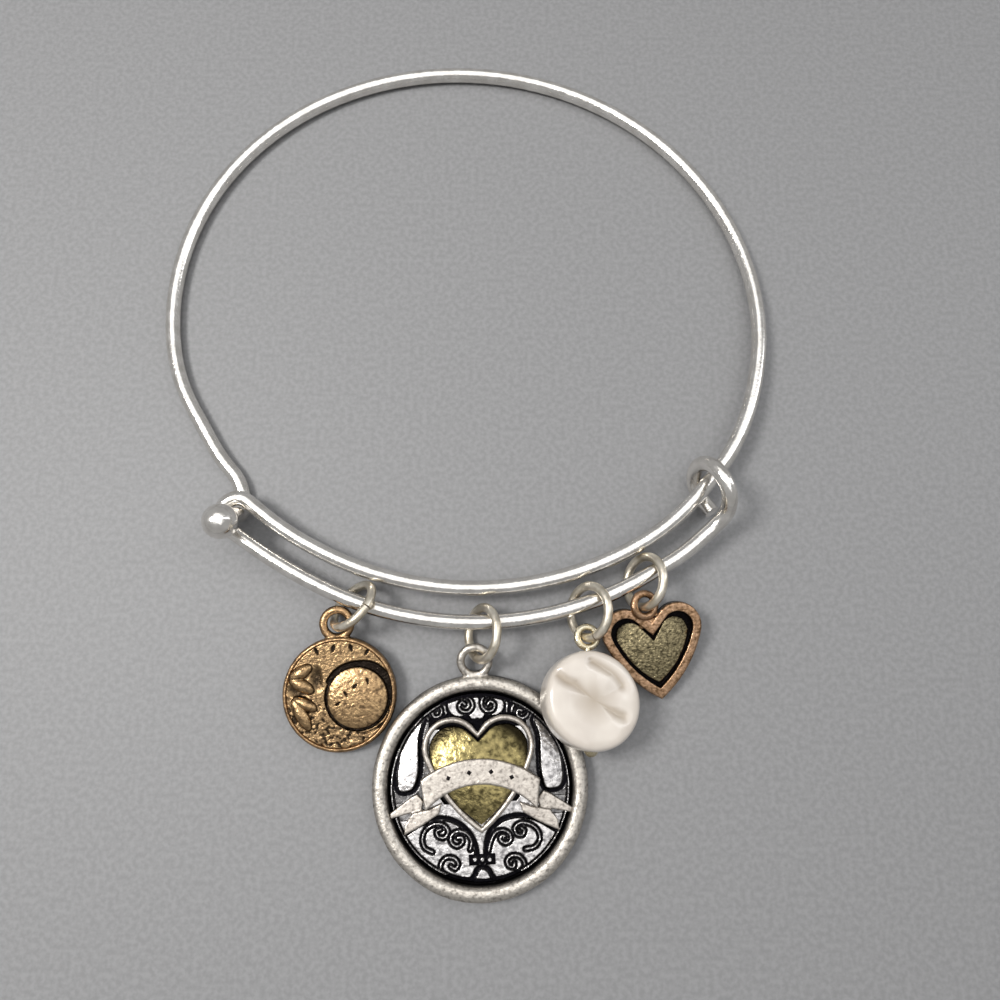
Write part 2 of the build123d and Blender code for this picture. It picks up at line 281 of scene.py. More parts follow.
def relief(name, size, steps, radius, shape):
    """Round sheet of relief: shape(x, y) gives a height and how bright it is rubbed, 0 to 1."""
    bpy.ops.mesh.primitive_grid_add(x_subdivisions=steps, y_subdivisions=steps, size=size)
    sheet = bpy.context.object
    sheet.name = name
    bpy.ops.object.mode_set(mode="EDIT")
    bpy.ops.mesh.select_mode(type="VERT")
    bpy.ops.mesh.select_all(action="DESELECT")
    bpy.ops.object.mode_set(mode="OBJECT")
    for point in sheet.data.vertices:
        point.select = hypot(point.co.x, point.co.y) > radius
    bpy.ops.object.mode_set(mode="EDIT")
    bpy.ops.mesh.delete(type="VERT")
    bpy.ops.object.mode_set(mode="OBJECT")
    rubbed = sheet.data.attributes.new("rubbed", "FLOAT", "POINT")
    spots = [(point.co.x, point.co.y) for point in sheet.data.vertices]
    shaped = [shape(x, y) for x, y in spots]
    moved = [number for (x, y), (z, _) in zip(spots, shaped) for number in (x, y, z)]
    sheet.data.vertices.foreach_set("co", moved)
    rubbed.data.foreach_set("value", [bright for _, bright in shaped])
    sheet.data.update()
    return sheet


def distance_to(lines, pitch=0.03):
    """A function that gives the distance from (x, y) to the nearest of some lines."""
    spots = []
    for line in lines:
        for (ax, ay), (bx, by) in zip(line, line[1:]):
            count = max(1, int(hypot(bx - ax, by - ay) / pitch))
            for i in range(count + 1):
                spots.append((ax + (bx - ax) * i / count, ay + (by - ay) * i / count, 0))
    tree = kdtree.KDTree(len(spots))
    for i, spot in enumerate(spots):
        tree.insert(spot, i)
    tree.balance()
    return lambda x, y: tree.find((x, y, 0))[2]


def step(low, high, value):
    """0 below low, 1 above high, smooth between."""
    t = min(max((value - low) / (high - low), 0.0), 1.0)
    return t * t * (3 - 2 * t)


def between(p, q, r, u, t):
    """The value at t on the smooth way from q to r, when p comes before them and u after."""
    square = 2 * p - 5 * q + 4 * r - u
    cube = 3 * q - p - 3 * r + u
    return 0.5 * (2 * q + (r - p) * t + square * t * t + cube * t**3)


def smooth_line(points, steps=8):
    """A smooth line through points."""
    ends = [points[0]] + list(points) + [points[-1]]
    line = []
    for a, b, c, d in zip(ends, ends[1:], ends[2:], ends[3:]):
        for i in range(steps):
            line.append(tuple(between(p, q, r, u, i / steps) for p, q, r, u in zip(a, b, c, d)))
    return line + [points[-1]]


def inside(x, y, outline):
    """Whether (x, y) lies inside a closed outline."""
    hit = False
    for (ax, ay), (bx, by) in zip(outline, outline[1:] + outline[:1]):
        if (ay > y) != (by > y) and x < ax + (bx - ax) * (y - ay) / (by - ay):
            hit = not hit
    return hit


def in_oval(x, y, cx, cy, turn, length, half):
    """Where (x, y) lies in a turned oval: along it and across it, 1 at its ends and at its sides."""
    a = radians(turn)
    along = ((x - cx) * cos(a) + (y - cy) * sin(a)) / length
    across = (-(x - cx) * sin(a) + (y - cy) * cos(a)) / half
    return along, across


def settle(obj, seat):
    """Puts a piece made in its own millimetres in its place in the frame."""
    pick(obj)
    obj.matrix_world = Matrix.Scale(MM, 4) @ seat @ obj.matrix_world
    bpy.ops.object.transform_apply(location=True, rotation=True, scale=True)
    bpy.ops.object.shade_smooth_by_angle(angle=radians(60))


def seat_of(origin, across, up):
    """A seat from its origin, its X direction and its Z direction."""
    along = up.cross(across)
    seat = Matrix((across, along, up)).transposed().to_4x4()
    seat.translation = origin
    return seat


def hung_seat(loop_at, reach, mid, turn, back_lift, aside=0.0):
    """Seat of a charm hung by its loop: its middle is reach below the loop and aside to its right."""
    turning = Matrix.Rotation(radians(turn), 3, "Z")
    up = turning @ Vector((0, -tan(radians(back_lift)), 1)).normalized()
    across = turning @ Vector((1, 0, 0))
    origin = Vector(loop_at) + across * aside - up.cross(across) * reach - up * mid
    return seat_of(origin, across, up)


def arc(centre, radius, start, sweep, steps=24):
    """Points along an arc, in degrees."""
    spots = [radians(start + sweep * i / steps) for i in range(steps + 1)]
    return [(centre[0] + radius * cos(a), centre[1] + radius * sin(a)) for a in spots]


def arc_through(first, middle, last, steps=24):
    """Points along the arc through three points."""
    (ax, ay), (bx, by), (cx, cy) = first, middle, last
    d = 2 * (ax * (by - cy) + bx * (cy - ay) + cx * (ay - by))
    a2, b2, c2 = ax**2 + ay**2, bx**2 + by**2, cx**2 + cy**2
    ox = (a2 * (by - cy) + b2 * (cy - ay) + c2 * (ay - by)) / d
    oy = (a2 * (cx - bx) + b2 * (ax - cx) + c2 * (bx - ax)) / d
    start = degrees(atan2(ay - oy, ax - ox))
    middle_at = (degrees(atan2(by - oy, bx - ox)) - start) % 360
    sweep = (degrees(atan2(cy - oy, cx - ox)) - start) % 360
    if middle_at > sweep:
        sweep -= 360
    return arc((ox, oy), hypot(ax - ox, ay - oy), start, sweep, steps)


def heart_side(half_width, top, cleft, tip, lobe_r, lobe_end=20):
    """The right side of a heart, from its cleft round the lobe to its tip."""
    lobe_at = (half_width - lobe_r, top - lobe_r)
    away = (-lobe_at[0], cleft - lobe_at[1])
    start = degrees(atan2(away[1], away[0])) % 360 - degrees(acos(lobe_r / hypot(*away)))
    side = [(0, cleft)] + arc(lobe_at, lobe_r, start, -(start + lobe_end))
    last = side[-1]
    heading = radians(-lobe_end - 90)
    chord = (-last[0], tip - last[1])
    turn = atan2(chord[1], chord[0]) - heading
    middle_off = hypot(*chord) / 2 * tan(turn / 2)
    middle = (
        last[0] + chord[0] / 2 + middle_off * chord[1] / hypot(*chord),
        last[1] + chord[1] / 2 - middle_off * chord[0] / hypot(*chord),
    )
    return side + arc_through(last, middle, (0, tip), 16)[1:]


def heart(*sizes):
    """A closed heart: its right side, and that side mirrored."""
    side = heart_side(*sizes)
    return side + [(-x, y) for x, y in reversed(side[1:-1])]


# Colours and materials


def linear(code):
    """A colour from its sRGB hex code, turned to linear, with full opacity."""
    channels = [int(code[i : i + 2], 16) / 255 for i in (1, 3, 5)]
    return (*[c / 12.92 if c <= 0.04045 else ((c + 0.055) / 1.055) ** 2.4 for c in channels], 1.0)


def add_node(material, kind, settings=None, **links):
    """Adds a node; links go by socket name or _number, and bring a socket to link or a plain value."""
    tree = material.node_tree
    made = tree.nodes.new(kind)
    for name, value in (settings or {}).items():
        setattr(made, name, value)
    for name, value in links.items():
        socket = made.inputs[int(name[1:]) if name[0] == "_" else name.replace("_", " ")]
        if isinstance(value, bpy.types.NodeSocket):
            tree.links.new(value, socket)
        else:
            socket.default_value = value
    return made


def new_material(name):
    """A new material with its surface shader."""
    material = bpy.data.materials.new(name)
    material.use_nodes = True
    return material


def place(material):
    """The place on the object, in metres."""
    return add_node(material, "ShaderNodeTexCoord").outputs["Object"]


def speckle(material, size_mm, detail=2.0, low=0.35, high=0.65):
    """Noise from 0 to 1 whose spots are about size_mm across."""
    scale = 1 / (size_mm * MM)
    spots = add_node(material, "ShaderNodeTexNoise", Vector=place(material), Scale=scale, Detail=detail)
    spread = add_node(material, "ShaderNodeMapRange", Value=spots.outputs["Fac"], _1=low, _2=high)
    return spread.outputs["Result"]


def blend(material, share, first, second):
    """A colour between two others, first at 0 and second at 1."""
    mix = add_node(material, "ShaderNodeMix", {"data_type": "RGBA"}, _0=share, _6=first, _7=second)
    return mix.outputs[2]


def height_over(material, seat, low, high):
    """0 at low and 1 at high above a charm's seat, in millimetres."""
    up = seat.to_3x3().col[2]
    base = seat.translation.dot(up)
    operation = {"operation": "DOT_PRODUCT"}
    along = add_node(material, "ShaderNodeVectorMath", operation, _0=place(material), _1=up)
    return add_node(
        material,
        "ShaderNodeMapRange",
        {"interpolation_type": "SMOOTHSTEP"},
        Value=along.outputs["Value"],
        _1=(base + low) * MM,
        _2=(base + high) * MM,
    ).outputs["Result"]


def arithmetic(material, operation, first, second):
    """One sum on two numbers, kept between 0 and 1."""
    settings = {"operation": operation, "use_clamp": True}
    return add_node(material, "ShaderNodeMath", settings, _0=first, _1=second).outputs[0]


def wear(obj, material):
    """Gives an object this material and no other."""
    obj.data.materials.clear()
    obj.data.materials.append(material)


def connect(material, **sources):
    """Links sockets to the surface shader, or sets plain values on it."""
    shader = material.node_tree.nodes["Principled BSDF"]
    for name, value in sources.items():
        socket = shader.inputs[name.replace("_", " ")]
        if isinstance(value, bpy.types.NodeSocket):
            material.node_tree.links.new(value, socket)
        else:
            socket.default_value = value


def bump(material, height, depth_mm):
    """Small relief from a height pattern."""
    made = add_node(material, "ShaderNodeBump", Height=height, Strength=1.0, Distance=depth_mm * MM)
    return made.outputs["Normal"]


def drawn_wire(name, light, dark, roughness):
    """Silver plate over drawn steel wire: bright, with a fine uneven skin that breaks up reflections."""
    material = new_material(name)
    tone = blend(material, speckle(material, 1.5), linear(dark), linear(light))
    spots = speckle(material, 0.4)
    low, high = roughness - 0.05, roughness + 0.08
    rough = add_node(material, "ShaderNodeMapRange", Value=spots, _3=low, _4=high)
    skin = bump(material, speckle(material, 0.25), depth_mm=0.006)
    connect(material, Base_Color=tone, Roughness=rough.outputs["Result"], Normal=skin, Metallic=1.0)
    return material


def antiqued(name, tarnish, body, bright, spot_mm, rub, rough=0.36, relief_mm=0.02):
    """Cast metal dipped black and rubbed back: dark and dull in its low places, mottled bright on top.

    The function rub tells where it is bright, from 0 to 1.
    """
    material = new_material(name)
    source = rub(material)
    mottle = speckle(material, spot_mm, detail=4.0, low=0.32, high=0.68)
    share = arithmetic(material, "MULTIPLY", source, arithmetic(material, "ADD", mottle, 0.6))
    colour = blend(material, share, linear(tarnish), blend(material, mottle, linear(body), linear(bright)))
    grain = bump(material, speckle(material, spot_mm * 0.7, detail=3.0), relief_mm)
    dull = add_node(material, "ShaderNodeMapRange", Value=mottle, _3=rough + 0.08, _4=rough - 0.06)
    connect(material, Base_Color=colour, Roughness=dull.outputs["Result"], Normal=grain, Metallic=1.0)
    return material


def by_height(seat, low, high):
    """Rubbing that grows with the height over the seat."""
    return lambda material: height_over(material, seat, low, high)


def by_mark(material):
    """Rubbing marked on the relief's own points."""
    return add_node(material, "ShaderNodeAttribute", {"attribute_name": "rubbed"}).outputs["Fac"]


def nacre():
    """Nacre of a freshwater coin pearl: cream, with a soft deep gloss, and painted beige-brown shade in its
    creases.
    """
    material = new_material("freshwater nacre")
    crease_shade = add_node(material, "ShaderNodeAttribute", {"attribute_name": "crease_shade"}).outputs["Fac"]
    tone = blend(material, speckle(material, 2.5), linear("#c3bab0"), linear("#cec6bc"))
    # Painted shade: the creases darken to beige brown towards their middle lines
    tone = blend(material, crease_shade, tone, linear("#8f7f69"))
    connect(material, Base_Color=tone, Roughness=0.3, IOR=1.53, Coat_Weight=0.7, Coat_Roughness=0.1)
    return material


def laminate():
    """Matte pale laminate of the table top: an even light grey with hardly any speckle."""
    material = new_material("matte pale laminate")
    tone = blend(material, speckle(material, 0.5), linear("#7b7b7c"), linear("#868687"))
    connect(material, Base_Color=tone, Roughness=0.6)
    return material


# Stage


def add_camera():
    """The camera at the photograph's angle."""
    at = Vector(CAMERA_AT) * MM
    bpy.ops.object.camera_add(location=at, rotation=(radians(CAMERA_TILT), 0, 0))
    camera = bpy.context.object
    camera.data.lens = CAMERA_LENS
    camera.data.sensor_width = CAMERA_SENSOR
    camera.data.sensor_fit = "HORIZONTAL"
    camera.data.clip_start = CAMERA_NEAR
    bpy.context.scene.camera = camera


def add_softbox(at, size, power, aim=(0, -10, 0), tint=(1, 1, 1)):
    """A soft rectangular studio light, placed in millimetres and turned towards aim."""
    bpy.ops.object.light_add(type="AREA", location=Vector(at) * MM)
    lamp = bpy.context.object
    lamp.rotation_euler = (Vector(aim) - Vector(at)).to_track_quat("-Z", "Y").to_euler()
    lamp.data.shape = "RECTANGLE"
    lamp.data.size = size[0] * MM
    lamp.data.size_y = size[1] * MM
    lamp.data.energy = power
    lamp.data.color = tint


def add_floor():
    """The plain pale floor."""
    bpy.ops.mesh.primitive_plane_add(size=FLOOR_SIZE, location=(0, 0, 0))
    floor = bpy.context.object
    floor.name = "floor"
    wear(floor, laminate())


def add_world():
    """An even grey surround."""
    world = bpy.data.worlds.new("studio")
    bpy.context.scene.world = world
    world.use_nodes = True
    background = world.node_tree.nodes["Background"]
    background.inputs["Color"].default_value = linear(SURROUND_GREY)
    background.inputs["Strength"].default_value = SURROUND_STRENGTH


deselect()
bpy.context.scene.view_settings.view_transform = "Standard"
add_camera()
add_world()
add_floor()
# Key light from the left, wide fill from above, faint strip at the right
add_softbox(at=(-150, 10, 240), size=(80, 80), power=0.6, tint=KEY_TINT)
add_softbox(at=(20, 40, 380), size=(520, 460), power=0.85)
add_softbox(at=(210, 60, 150), size=(60, 220), power=0.10, tint=SIDE_TINT)


# Seats

medal_turn = Matrix.Rotation(radians(MEDAL_TURN), 3, "Z")
MEDAL_SEAT = seat_of(Vector(MEDAL_AT), medal_turn @ Vector((1, 0, 0)), Vector((0, 0, 1)))
DISC_SEAT = hung_seat(DISC_LOOP, DISC_HANG, DISC_T / 2, DISC_TURN, DISC_LIFT)
HEART_SEAT = hung_seat(
    HEART_LOOP, HEART_HANG, HEART_T / 2 + HEART_RISE, HEART_TURN, HEART_LIFT, HEART_ASIDE
)


# Medallion

# Lines of the scrollwork in the medallion's own millimetres
CURLS = (
    (
        (-3.06, 6.91), (-3.14, 7.97), (-2.55, 8.55), (-1.5, 8.65), (-0.65, 8.2), (-0.4, 7.5),
        (-0.8, 7.0), (-1.45, 7.05), (-1.75, 7.5), (-1.45, 7.9), (-1.15, 7.7),
    ),
    (
        (2.93, 6.81), (2.93, 7.83), (2.23, 8.5), (1.26, 8.58), (0.55, 8.05), (0.56, 7.35), (1.08, 6.9),
        (1.65, 7.1), (1.75, 7.6), (1.35, 7.85), (1.08, 7.55),
    ),
    (
        (-4.83, 6.45), (-5.15, 7.1), (-4.79, 7.7), (-4.0, 7.8), (-3.5, 7.35), (-3.6, 6.75),
        (-4.2, 6.65), (-4.4, 7.1), (-4.05, 7.35),
    ),
    (
        (3.4, 6.8), (3.62, 7.37), (4.3, 7.55), (4.95, 7.15), (5.02, 6.45), (4.47, 6.1), (3.95, 6.42),
        (4.05, 6.9), (4.45, 6.82),
    ),
    (
        (-4.79, -5.75), (-5.55, -5.3), (-5.7, -4.45), (-5.3, -3.65), (-4.45, -3.25), (-3.65, -3.4),
        (-3.25, -4.0), (-3.6, -4.5), (-4.2, -4.4), (-4.35, -3.95), (-3.95, -3.75),
    ),
    (
        (-1.2, -5.7), (-1.05, -5.0), (-1.45, -4.3), (-2.25, -4.02), (-2.9, -4.3), (-3.0, -4.95),
        (-2.48, -5.35), (-1.92, -5.08), (-1.95, -4.62), (-2.35, -4.58),
    ),
    (
        (0.55, -5.9), (0.8, -5.1), (1.25, -4.35), (1.95, -4.12), (2.62, -4.48), (2.68, -5.08),
        (2.15, -5.3), (1.7, -4.98), (1.85, -4.6), (2.15, -4.68),
    ),
    (
        (4.05, -5.9), (4.95, -5.75), (5.48, -5.1), (5.3, -4.25), (4.6, -3.7), (3.7, -3.55),
        (3.15, -3.95), (3.3, -4.55), (3.82, -4.65), (4.05, -4.25), (3.75, -4.0),
    ),
    (
        (-1.17, -8.45), (-2.34, -8.3), (-3.34, -7.95), (-4.0, -7.45), (-3.98, -6.76), (-3.45, -6.3),
        (-2.72, -6.42), (-2.38, -6.95), (-2.7, -7.32), (-3.1, -7.1),
    ),
    (
        (1.18, -8.5), (2.2, -8.35), (3.2, -8.0), (3.76, -7.6), (3.9, -7.15), (3.48, -6.54),
        (2.75, -6.42), (2.26, -6.84), (2.4, -7.35), (2.84, -7.42), (2.95, -7.1),
    ),
)
ARCHES = (
    (
        (-7.38, -3.97), (-6.07, -3.24), (-4.69, -2.8), (-3.32, -2.83), (-2.06, -3.4), (-1.16, -4.29),
        (-0.69, -5.35), (-0.56, -6.23),
    ),
    (
        (7.22, -4.39), (5.74, -3.43), (4.39, -2.96), (2.85, -2.9), (1.54, -3.38), (0.72, -4.22),
        (0.38, -5.2), (0.28, -6.2),
    ),
    (
        (-1.34, -8.5), (-0.89, -8.0), (-0.61, -7.5), (-0.1, -7.27), (0.45, -7.54), (0.75, -8.05),
        (1.05, -8.5),
    ),
)
# Outlines of the raised cushions at both sides of the heart
LEFT_FIELD = (
    (-5.39, 7.0), (-6.51, 5.9), (-7.45, 4.3), (-7.95, 2.32), (-8.1, 0.69), (-7.8, -0.23), (-6.5, -0.1),
    (-5.85, 1.22), (-5.72, 3.2), (-5.7, 4.87), (-5.25, 6.4),
)
RIGHT_FIELD = (
    (5.8, 6.4), (7.0, 5.2), (7.8, 3.6), (8.15, 1.66), (8.1, 0.01), (7.5, -0.61), (6.26, -0.54),
    (5.85, 0.97), (5.85, 2.62), (5.9, 4.4), (5.5, 5.8),
)
# Beads of the knot where the two lower scrolls meet
KNOT = ((-0.78, -6.62), (-0.08, -6.65), (0.62, -6.68))
# Places of polished ground inside the top scrolls: x, y and radius
ISLANDS = (
    (-1.75, 7.65, 1.1), (1.65, 7.6, 1.1), (-4.2, 7.15, 0.6), (4.25, 6.8, 0.6), (-0.02, 7.1, 0.62),
    (-0.05, 8.0, 0.35), (-0.3, 6.75, 0.5), (0.25, 6.75, 0.5),
)


def medal_relief():
    """The medallion's sunk field: polished ground, dark grooves, a cushion at each side, a knot below."""
    to_curl = distance_to([smooth_line(line) for line in CURLS])
    to_arch = distance_to([smooth_line(line) for line in ARCHES])
    fields = [smooth_line([*outline, outline[0]], 5) for outline in (LEFT_FIELD, RIGHT_FIELD)]
    to_field = distance_to(fields)

    def shape(x, y):
        r = hypot(x, y)
        ground = MEDAL_GROUND + 0.03 * lumps(x, y, 0, 0.9) + 0.015 * lumps(x, y, 5, 0.35)
        bright = 1.0
        curl = to_curl(x, y)

        # At the top only the islands inside the scrolls are polished
        if y > 5.4 and abs(x) < 6.2:
            island = max(step(0.05, -0.08, hypot(x - cx, y - cy) - size) for cx, cy, size in ISLANDS)
            bright = island

        # Side cushions swell from their outlines and fall off towards the rim
        if abs(x) > 4.8 and -1.2 < y < 7.4:
            within = any(inside(x, y, outline) for outline in fields)
            edge = to_field(x, y)
            swell = step(0.0, 0.28, edge) if within else 0.0
            bright = swell if within or edge < 0.3 else 0.25
            ground += CUSHION_RISE * swell - 0.075 * max(r - 6.0, 0.0) ** 2 * swell
        elif abs(x) > 5.2 and -2.8 < y < 7.6:
            bright = min(bright, 0.45)

        # Dark under the heart, in the grooves of the arches and beside the scrolls, whose wire is bright
        arch = to_arch(x, y)
        bright *= step(4.3, 4.7, hypot(x, y - 1.4)) if y > -1.5 else 1.0
        bright *= step(0.16, 0.34, arch) * step(0.24, 0.36, curl)
        bright = max(bright, 0.9 * step(0.12, 0.04, curl))
        if abs(x + 0.08) < 1.25 and -7.1 < y < -6.15:
            bead = min(hypot(x - cx, y - cy) for cx, cy in KNOT)
            bright = step(0.25, 0.14, bead)

        # A dark ring with a thin bright ridge runs inside the rim, and the border is sunk in the casting
        frame_gap = step(8.25, 8.42, r)
        ridge = step(0.1, 0.03, abs(r - 8.56)) if abs(y) < 7.8 else 0.0
        bright = max(bright * (1 - frame_gap), ridge)
        height = ground - MEDAL_GROOVE * (1 - step(0.0, 0.8, bright))
        border = step(8.68, 8.82, r)
        return height * (1 - border) + MEDAL_BORDER * border, bright * (1 - border)

    return relief("medallion_field", size=17.8, steps=300, radius=MEDAL_EDGE, shape=shape)


def medal_blank():
    """The round of the medallion: flat back, rounded rim, dark channel, sunk middle."""
    back = ((0, 0), (9.9, 0), (10.3, 0.12), (10.48, 0.5))
    rim = ((10.5, 1.1), (10.42, 1.6), (10.15, 1.9), (9.75, 2.0), (9.35, 1.95), (9.08, 1.75))
    sunk = ((8.98, 1.4), (8.9, 1.05), (8.75, 0.9), (4.0, 0.9), (0, 0.9))
    return turned(back + rim + sunk)


def medal_heart_frame():
    """The thin heart-shaped ridge round the inlaid heart."""
    line = [(x, y, 1.8) for x, y in heart(*MEDAL_HEART)]
    return draw(line, closed=True, bevel=0.29, round_corners=4)


def medal_banner():
    """The ribbon across the heart: an arched band with a rounded edge."""
    crown = arc_through((-5.5, 0.85), (0, 2.5), (5.62, 0.45))
    hem = arc_through((-5.15, -1.62), (0, 0.42), (5.3, -1.9))
    return plate(crown + hem[::-1], low=1.3, high=BANNER_TOP, edge=0.16)


def medal_tails():
    """The ribbon's forked tails: on each side two narrow points that taper to the rim."""
    tails = []
    for side, drop in ((-1, 0.0), (1, -0.25)):
        upper = (
            (5.6, -1.15), (6.1, -0.55), (6.6, -0.75), (8.6, -2.1),
            (8.55, -2.4), (6.6, -1.95), (5.8, -1.9),
        )
        lower = (
            (3.9, -1.5), (4.9, -1.9), (6.5, -2.2), (7.2, -3.15),
            (7.25, -3.85), (5.6, -3.1), (4.1, -2.2),
        )
        for outline, top in ((upper, 1.78), (lower, 1.95)):
            tail = [(side * x, y + drop) for x, y in outline]
            tails.append(plate(tail, low=1.1, high=top, edge=0.12))
    return tails


def diamonds(spots, height, size):
    """Small diamond marks that stand out a little from the face they lie in."""
    made = []
    for x, y, turn in spots:
        bpy.ops.mesh.primitive_cone_add(vertices=4, radius1=size, radius2=0.6 * size, depth=0.16)
        mark = bpy.context.object
        mark.matrix_world = Matrix.Translation((x, y, height)) @ Matrix.Rotation(radians(turn), 4, "Z")
        bpy.ops.object.transform_apply(location=True, rotation=True, scale=False)
        made.append(mark)
    return join(made, "medallion_marks")


def medallion():
    """The big cast medallion."""
    loop_at = MEDAL_SEAT.inverted() @ Vector(MEDAL_LOOP)
    loop_normal = Matrix.Rotation(radians(MEDAL_LOOP_LEAN), 3, "X") @ Vector((0, 0, 1))
    body = cast([medal_blank(), ring(loop_at, loop_normal, *MEDAL_RING)], "medallion_body", voxel=0.13)
    hammer(body, size=1.3, depth=0.035)
    settle(body, MEDAL_SEAT)
    rim_rub = by_height(MEDAL_SEAT, 1.15, 1.75)

    # Soft warm grey with broad dull highlights on the rim, black at its foot
    wear(body, antiqued("rubbed pewter", "#1b191a", "#a9a39b", "#cbc5bc", 0.35, rim_rub, 0.42, 0.012))
    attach(body, "root")
    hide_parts("medallion")

    field = medal_relief()
    settle(field, MEDAL_SEAT)

    # Near white where it is polished, with sharp small glints, and black in every groove
    ground = antiqued("polished pewter ground", "#0e0d10", "#a29f9f", "#dedbd9", 0.5, by_mark, 0.26, 0.02)
    wear(field, ground)
    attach(field, "root")

    band = cast([medal_banner()], "medallion_banner", voxel=0.08, smoothing=3)
    trim = cast(medal_tails() + [medal_heart_frame()], "trim", voxel=0.08, smoothing=3)
    ribbon = join([band, trim], "medallion_ribbon")
    hammer(ribbon, size=0.8, depth=0.02)
    settle(ribbon, MEDAL_SEAT)
    rub = by_height(MEDAL_SEAT, 1.35, 1.72)

    # The same soft grey as the rim, a little warmer and more even, so that the marks stand out on it
    wear(ribbon, antiqued("rubbed pewter ribbon", "#1b191a", "#aea69e", "#c8c1b8", 0.35, rub, 0.42, 0.01))
    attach(ribbon, "root")

    spots = ((-2.95, 1.02, 20), (-0.95, 1.42, 8), (1.15, 1.4, -6), (3.1, 0.82, -20))
    marks = diamonds(spots, BANNER_TOP - 0.02, MARK_R)
    settle(marks, MEDAL_SEAT)
    rub = by_height(MEDAL_SEAT, 2.6, 3.4)

    # Nearly black and without a highlight, so that they read as small dark dents
    wear(marks, antiqued("black patina", "#151316", "#2c2927", "#3f3a36", 0.35, rub))
    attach(marks, "root")

    inlay = plate(heart(*INLAY_HEART), low=1.1, high=2.6, edge=0.12)
    dome(inlay, y=1, top=2.45, segments=128, rings=96)
    inlay = cast([inlay], "medallion_inlay", voxel=0.07, smoothing=6)
    hammer(inlay, size=1.1, depth=0.03)
    settle(inlay, MEDAL_SEAT)
    rub = by_height(MEDAL_SEAT, 1.65, 2.05)

    # Olive gold that mirrors the room in uneven patches, dark at its outline
    wear(inlay, antiqued("hammered brass inlay", "#1e1a10", "#574f33", "#a39566", 0.55, rub, 0.24, 0.02))
    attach(inlay, "root")


# Disc

# Ovals on the disc, each (x, y, turn, half length, half width): two for each puffed heart, then the marks
LOBES = (
    (-3.65, 2.35, 29, 1.3, 0.66), (-3.6, 1.1, -31, 1.4, 0.66), (-3.35, -0.7, -29, 1.35, 0.6),
    (-3.75, -1.7, -62, 1.8, 0.64),
)
CRESCENT = (
    (-0.85, 1.3), (-0.24, 2.05), (0.74, 2.6), (2.18, 2.75), (3.37, 2.5), (4.25, 1.85), (4.85, 1.0),
    (5.08, 0.0), (4.95, -0.9),
)
DISC_MARKS = (
    (-2.05, 4.3, 115, 0.42, 0.16), (-0.4, 4.5, 70, 0.42, 0.2),
    (1.35, 4.45, 105, 0.42, 0.2), (2.9, 3.95, 55, 0.42, 0.16),
    (-0.1, -0.85, 30, 0.34, 0.14), (0.7, 0.05, 120, 0.34, 0.14),
    (1.65, 0.75, 45, 0.34, 0.16), (2.9, 1.15, 100, 0.34, 0.14),
)


def disc_relief():
    """The disc's face: pebbled ground, a domed moon in a groove, puffed hearts, small leaf marks."""
    to_crescent = distance_to([smooth_line(CRESCENT)])

    def shape(x, y):
        # Pebbled below and smoother above, with dark pits in the lower half
        pebbles = 0.03 * lumps(x, y, 0, 0.5) * step(3.5, -2.5, y)
        height = DISC_GROUND + pebbles + 0.02 * lumps(x, y, 3, 1.1)
        bright = 0.75
        pits = step(0.12, 0.42, lumps(x, y, 9, 0.33)) * step(0.5, -2.0, y)
        bright -= 0.7 * pits
        height -= DISC_PIT * pits

        # Dark hollows: the crescent over the moon, the line round it, ripples and the gaps of the hearts
        crescent = to_crescent(x, y)
        width = 0.34 + 0.12 * step(0.0, 4.0, x)
        hollow = step(width + 0.1, width - 0.1, crescent)
        from_moon = hypot(x - MOON_AT[0], y - MOON_AT[1])
        ring_line = step(0.2, 0.08, abs(from_moon - MOON_R - 0.12))
        ripples = 0.6 * step(0.12, 0.04, abs(from_moon - 3.5)) * step(0.2, -0.6, y) * step(1.5, 2.6, x)
        left_gap = step(0.75, 0.2, hypot((x + 4.0) / 1.9, y - 0.45 + 0.25 * (x + 4.0)))
        upper_gap = step(0.7, 0.2, hypot(x + 2.1, (y - 1.6) / 2.2))
        valley = left_gap + upper_gap
        dark = min(max(hollow, ring_line, ripples, 0.85 * valley), 1.0)
        height -= DISC_HOLLOW * dark
        bright *= 1 - dark
        if from_moon < MOON_R:
            swell = sqrt(max(0.0, 1 - (from_moon / MOON_R) ** 2))
            height = MOON_BASE + MOON_RISE * swell + 0.012 * lumps(x, y, 7, 0.4)
            bright = step(0.0, 0.14, MOON_R - from_moon)
        for lobe in LOBES:
            u, v = in_oval(x, y, *lobe)
            puff = 1 - u * u - v * v
            if puff > 0 and LOBE_BASE + LOBE_RISE * sqrt(puff) > height:
                height = LOBE_BASE + LOBE_RISE * sqrt(puff)
                bright = step(0.02, 0.25, puff)
        for mark in DISC_MARKS:
            u, v = in_oval(x, y, *mark)
            dent = step(1.15, 0.6, u * u + abs(v))
            height -= DISC_MARK * dent
            bright *= 1 - dent

        # The border is sunk in the casting
        border = step(5.16, 5.28, hypot(x, y))
        return height * (1 - border) + DISC_BORDER * border, bright * (1 - border)

    return relief("disc_face", size=10.7, steps=200, radius=DISC_EDGE, shape=shape)


